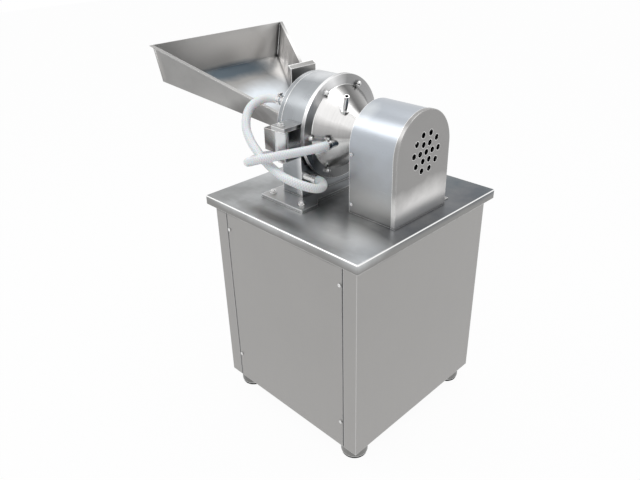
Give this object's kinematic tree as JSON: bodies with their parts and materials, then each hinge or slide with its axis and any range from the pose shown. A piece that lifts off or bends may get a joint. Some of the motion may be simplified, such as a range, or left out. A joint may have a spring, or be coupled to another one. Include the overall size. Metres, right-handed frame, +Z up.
{
  "type": "pin mill",
  "caption": "Cabinet pin mill with a water-jacketed chamber on a hinged door, a tapering feed tray, a feed gate, a vented belt guard and a bag spout.",
  "frame": {"origin": "on the floor under the middle of the machine's bounding box, water hoses left out", "axes": "+Z up, +X along the mill shaft from the feed tray to the belt guard, -Y towards the service panel and the door's hinge"},
  "size_m": [0.7948, 0.55, 0.991],
  "materials": {
    "sheet_steel": "fine brushed stainless sheet",
    "polished_steel": "turned and polished stainless",
    "cast_steel": "satin ground stainless casting",
    "frame_steel": "grey primer",
    "cast_iron": "machined grooves",
    "motor_paint": "semi-gloss",
    "black_rubber": "matt",
    "belt_rubber": "matt",
    "black_plastic": "moulded",
    "switch_plastic": "moulded",
    "green_plastic": "moulded",
    "red_plastic": "moulded",
    "hose_plastic": "milky braided PVC"
  },
  "bodies": {
    "machine": {"frame": "frame_steel", "side_sheet_left": "sheet_steel", "side_sheet_right": "sheet_steel", "front_panel": "sheet_steel", "rear_panel": "sheet_steel", "panel_screws": "polished_steel", "table_top": "sheet_steel", "foot_cups": "sheet_steel", "foot_rubbers": "black_rubber", "cable_gland": "black_rubber", "motor_plate": "frame_steel", "motor_body": "motor_paint", "v_belts": "belt_rubber", "bearing_tube": "motor_paint", "bearings": "polished_steel", "belt_guard": "sheet_steel", "guard_end_plate": "sheet_steel", "guard_back_plate": "sheet_steel", "guard_screws": "polished_steel", "base_plate": "cast_steel", "base_bolts": "polished_steel", "housing": "cast_steel", "rear_cover": "cast_steel", "water_jacket": "polished_steel", "cover_bolts": "polished_steel", "sieve_ring": "sheet_steel", "mill_nipples": "polished_steel", "mill_hose_clamps": "polished_steel", "hinge_bracket": "cast_steel", "hinge_pin": "polished_steel", "clamp_bracket": "cast_steel", "clamp_pin": "polished_steel", "discharge_duct": "sheet_steel", "bag_spout": "sheet_steel", "switch_box": "switch_plastic", "hose_upper": "hose_plastic", "hose_lower": "hose_plastic"},
    "mill_rotor": {"main_shaft": "polished_steel", "rotor": "polished_steel", "rotor_pins": "polished_steel", "shaft_nuts": "polished_steel", "mill_pulley": "cast_iron"},
    "motor_rotor": {"motor_shaft": "polished_steel", "motor_pulley": "cast_iron"},
    "door": {"door": "cast_steel", "door_gasket": "black_rubber", "pin_disc": "polished_steel", "door_pins": "polished_steel", "door_nipples": "polished_steel", "door_hose_clamps": "polished_steel", "hinge_leaf": "cast_steel", "feed_tray": "sheet_steel", "feed_spout": "sheet_steel"},
    "feed_gate": {"feed_gate": "sheet_steel"},
    "clamp_arm": {"clamp_bolt": "polished_steel"},
    "clamp_knob": {"clamp_knob": "black_plastic"},
    "start_button": {"start_button": "green_plastic"},
    "stop_button": {"stop_button": "red_plastic"}
  },
  "joints": [
    {"name": "door_swing", "type": "hinge", "parent": "machine", "child": "door", "pos_m": [0.04035, -0.16, 0.8], "axis": [0, 0, 1], "range_deg": [0, 105], "deforming": ["hose_upper", "hose_lower"]},
    {"name": "gate_slide", "type": "slide", "parent": "door", "child": "feed_gate", "axis": [0, 0, -1], "range_m": [0, 0.064]},
    {"name": "mill_spin", "type": "hinge", "parent": "machine", "child": "mill_rotor", "pos_m": [0.12235, 0.008, 0.807], "axis": [1, 0, 0], "continuous": true},
    {"name": "motor_spin", "type": "hinge", "parent": "machine", "child": "motor_rotor", "pos_m": [0.12235, 0.008, 0.25], "axis": [1, 0, 0], "continuous": true},
    {"name": "clamp_swing", "type": "hinge", "parent": "machine", "child": "clamp_arm", "pos_m": [0.03235, 0.161, 0.807], "axis": [0, 0, -1], "range_deg": [0, 100]},
    {"name": "knob_spin", "type": "hinge", "parent": "clamp_arm", "child": "clamp_knob", "pos_m": [-0.02765, 0.161, 0.807], "axis": [1, 0, 0], "continuous": true},
    {"name": "start_push", "type": "slide", "parent": "machine", "child": "start_button", "axis": [1, 0, 0], "range_m": [0, 0.003], "stiffness_N_per_m": 600, "springref_m": -0.003},
    {"name": "stop_push", "type": "slide", "parent": "machine", "child": "stop_button", "axis": [1, 0, 0], "range_m": [0, 0.003], "stiffness_N_per_m": 600, "springref_m": -0.003}
  ],
  "couplings": [
    {"joint": "motor_spin", "follows": "mill_spin", "ratio": 0.66667},
    {"joint": "clamp_swing", "follows": "door_swing", "ratio": 0.95}
  ]
}
